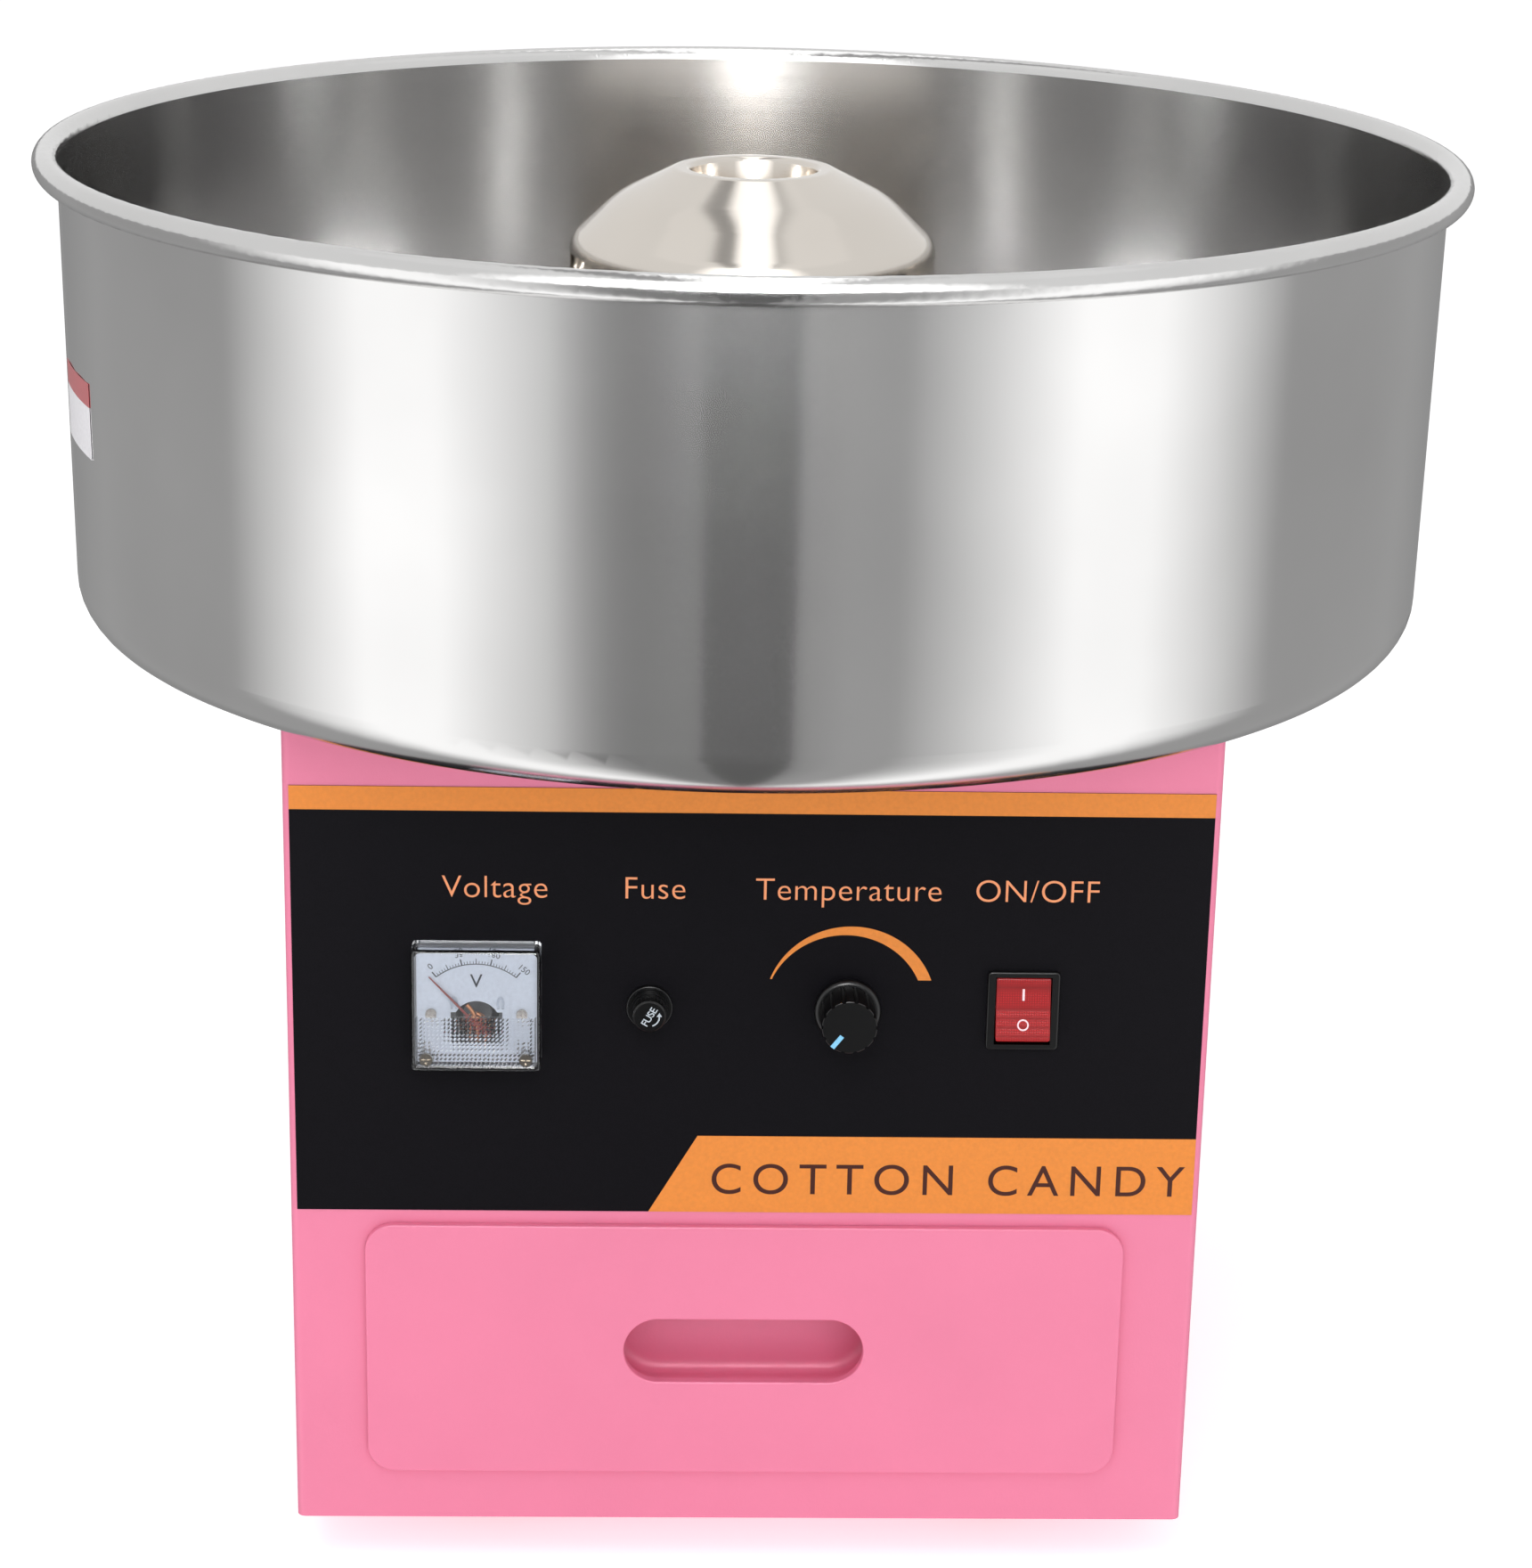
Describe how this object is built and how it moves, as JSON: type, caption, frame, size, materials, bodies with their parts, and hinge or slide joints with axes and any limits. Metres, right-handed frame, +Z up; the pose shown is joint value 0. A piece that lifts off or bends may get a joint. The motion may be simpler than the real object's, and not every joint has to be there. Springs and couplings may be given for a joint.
{
  "type": "cotton candy machine",
  "caption": "Table-top cotton candy machine: pink sheet-steel cabinet with drawer and control panel under a round stainless bowl with a spinning heated head.",
  "frame": {"origin": "on the floor under the centre of the bowl", "axes": "+Z up along the bowl axis, the control panel faces -Y, +X to the right seen from the front"},
  "size_m": [0.52, 0.52, 0.5],
  "materials": {
    "pink_enamel": "powder coat, fine texture",
    "galvanised_steel": "zinc-plated sheet",
    "stainless_bowl": "spun, bright",
    "stainless_head": "spun and polished",
    "bright_fasteners": "nickel plated",
    "spring_steel": "bright",
    "black_rubber": "moulded",
    "overlay_film": "printed film",
    "meter_body": "moulded",
    "meter_window": "clear acrylic",
    "meter_dial": "printed plate",
    "meter_metal": "iron",
    "pointer_red": "enamel",
    "brass": "bright",
    "black_plastic": "moulded",
    "pot_metal": "plated",
    "rocker_red": "translucent",
    "fuse_glass": "clear",
    "board_green": "laminate",
    "cast_aluminium": "as cast",
    "motor_paint": "enamel",
    "bearing_steel": "ground",
    "copper": "enamelled wire",
    "carbon": "pressed graphite",
    "heater_sheath": "heat-darkened",
    "ceramic": "glazed ceramic",
    "lead_sleeve": "glass-fibre sleeve"
  },
  "bodies": {
    "cabinet": {"cabinet_wrap": "pink_enamel", "rear_panel": "pink_enamel", "top_plate": "pink_enamel", "base_plate": "pink_enamel", "partition_shelf": "galvanised_steel", "case_screws": "bright_fasteners", "rubber_feet": "black_rubber", "machine_bolts": "bright_fasteners", "control_decal": "overlay_film", "meter_case": "meter_body", "meter_cover": "meter_window", "meter_dial": "meter_dial", "meter_screws": "bright_fasteners", "meter_movement": "meter_metal", "brass_terminals": "brass", "fuse_holder": "black_plastic", "potentiometer": "pot_metal", "switch_housing": "black_plastic", "drawer_runners": "galvanised_steel", "mains_inlet": "black_plastic", "dimmer_board": "board_green", "heat_sink": "cast_aluminium", "motor_can": "motor_paint", "motor_end_caps": "cast_aluminium", "motor_bearings": "bearing_steel", "motor_stator": "galvanised_steel", "motor_windings": "copper", "motor_plate": "galvanised_steel", "motor_mounts": "black_rubber", "neck_guard": "stainless_head", "brush_holder": "black_plastic", "carbon_brushes": "carbon", "brush_springs": "bright_fasteners", "brush_bracket": "galvanised_steel", "bowl_seat": "black_rubber", "bowl_clips": "spring_steel"},
    "spinner": {"drive_shaft": "bearing_steel", "motor_rotor": "galvanised_steel", "cooling_fan": "black_plastic", "slip_ring_drum": "black_plastic", "slip_rings": "brass", "head_hub": "cast_aluminium", "head_pan": "stainless_head", "head_cover": "stainless_head", "floss_band": "stainless_head", "heater_element": "heater_sheath", "heater_insulators": "ceramic", "head_studs": "bright_fasteners", "spindle_nut": "bright_fasteners", "heater_leads": "lead_sleeve"},
    "bowl": {"bowl": "stainless_bowl"},
    "drawer": {"drawer_front": "pink_enamel", "drawer_box": "pink_enamel", "drawer_pocket": "pink_enamel"},
    "switch_rocker": {"switch_rocker": "rocker_red"},
    "control_knob": {"control_knob": "black_plastic", "pot_shaft": "pot_metal"},
    "meter_pointer": {"meter_pointer": "pointer_red"},
    "fuse_carrier": {"fuse": "fuse_glass"},
    "fuse_cap": {"fuse_cap": "black_plastic"}
  },
  "joints": [
    {"name": "head_spin", "type": "hinge", "parent": "cabinet", "child": "spinner", "pos_m": [0, 0, 0.4], "axis": [0, 0, 1], "continuous": true},
    {"name": "bowl_lift", "type": "slide", "parent": "cabinet", "child": "bowl", "axis": [0, 0, 1], "range_m": [0, 0.18]},
    {"name": "drawer_slide", "type": "slide", "parent": "cabinet", "child": "drawer", "axis": [0, -1, 0], "range_m": [0, 0.2]},
    {"name": "switch_rock", "type": "hinge", "parent": "cabinet", "child": "switch_rocker", "pos_m": [0.0957, -0.1528, 0.222], "axis": [1, 0, 0], "range_deg": [0, 22]},
    {"name": "knob_turn", "type": "hinge", "parent": "cabinet", "child": "control_knob", "pos_m": [0.0341, -0.16, 0.222], "axis": [0, 1, 0], "range_deg": [0, 284]},
    {"name": "pointer_swing", "type": "hinge", "parent": "cabinet", "child": "meter_pointer", "pos_m": [-0.0954, -0.16, 0.2174], "axis": [0, 1, 0], "range_deg": [0, 84], "stiffness_Nm_per_rad": 0.00002, "springref_deg": -17.19},
    {"name": "fuse_pull", "type": "slide", "parent": "cabinet", "child": "fuse_carrier", "axis": [0, -1, 0], "range_m": [0, 0.035]},
    {"name": "fuse_cap_turn", "type": "hinge", "parent": "fuse_carrier", "child": "fuse_cap", "pos_m": [-0.0352, -0.16, 0.222], "axis": [0, -1, 0], "range_deg": [0, 90]}
  ]
}
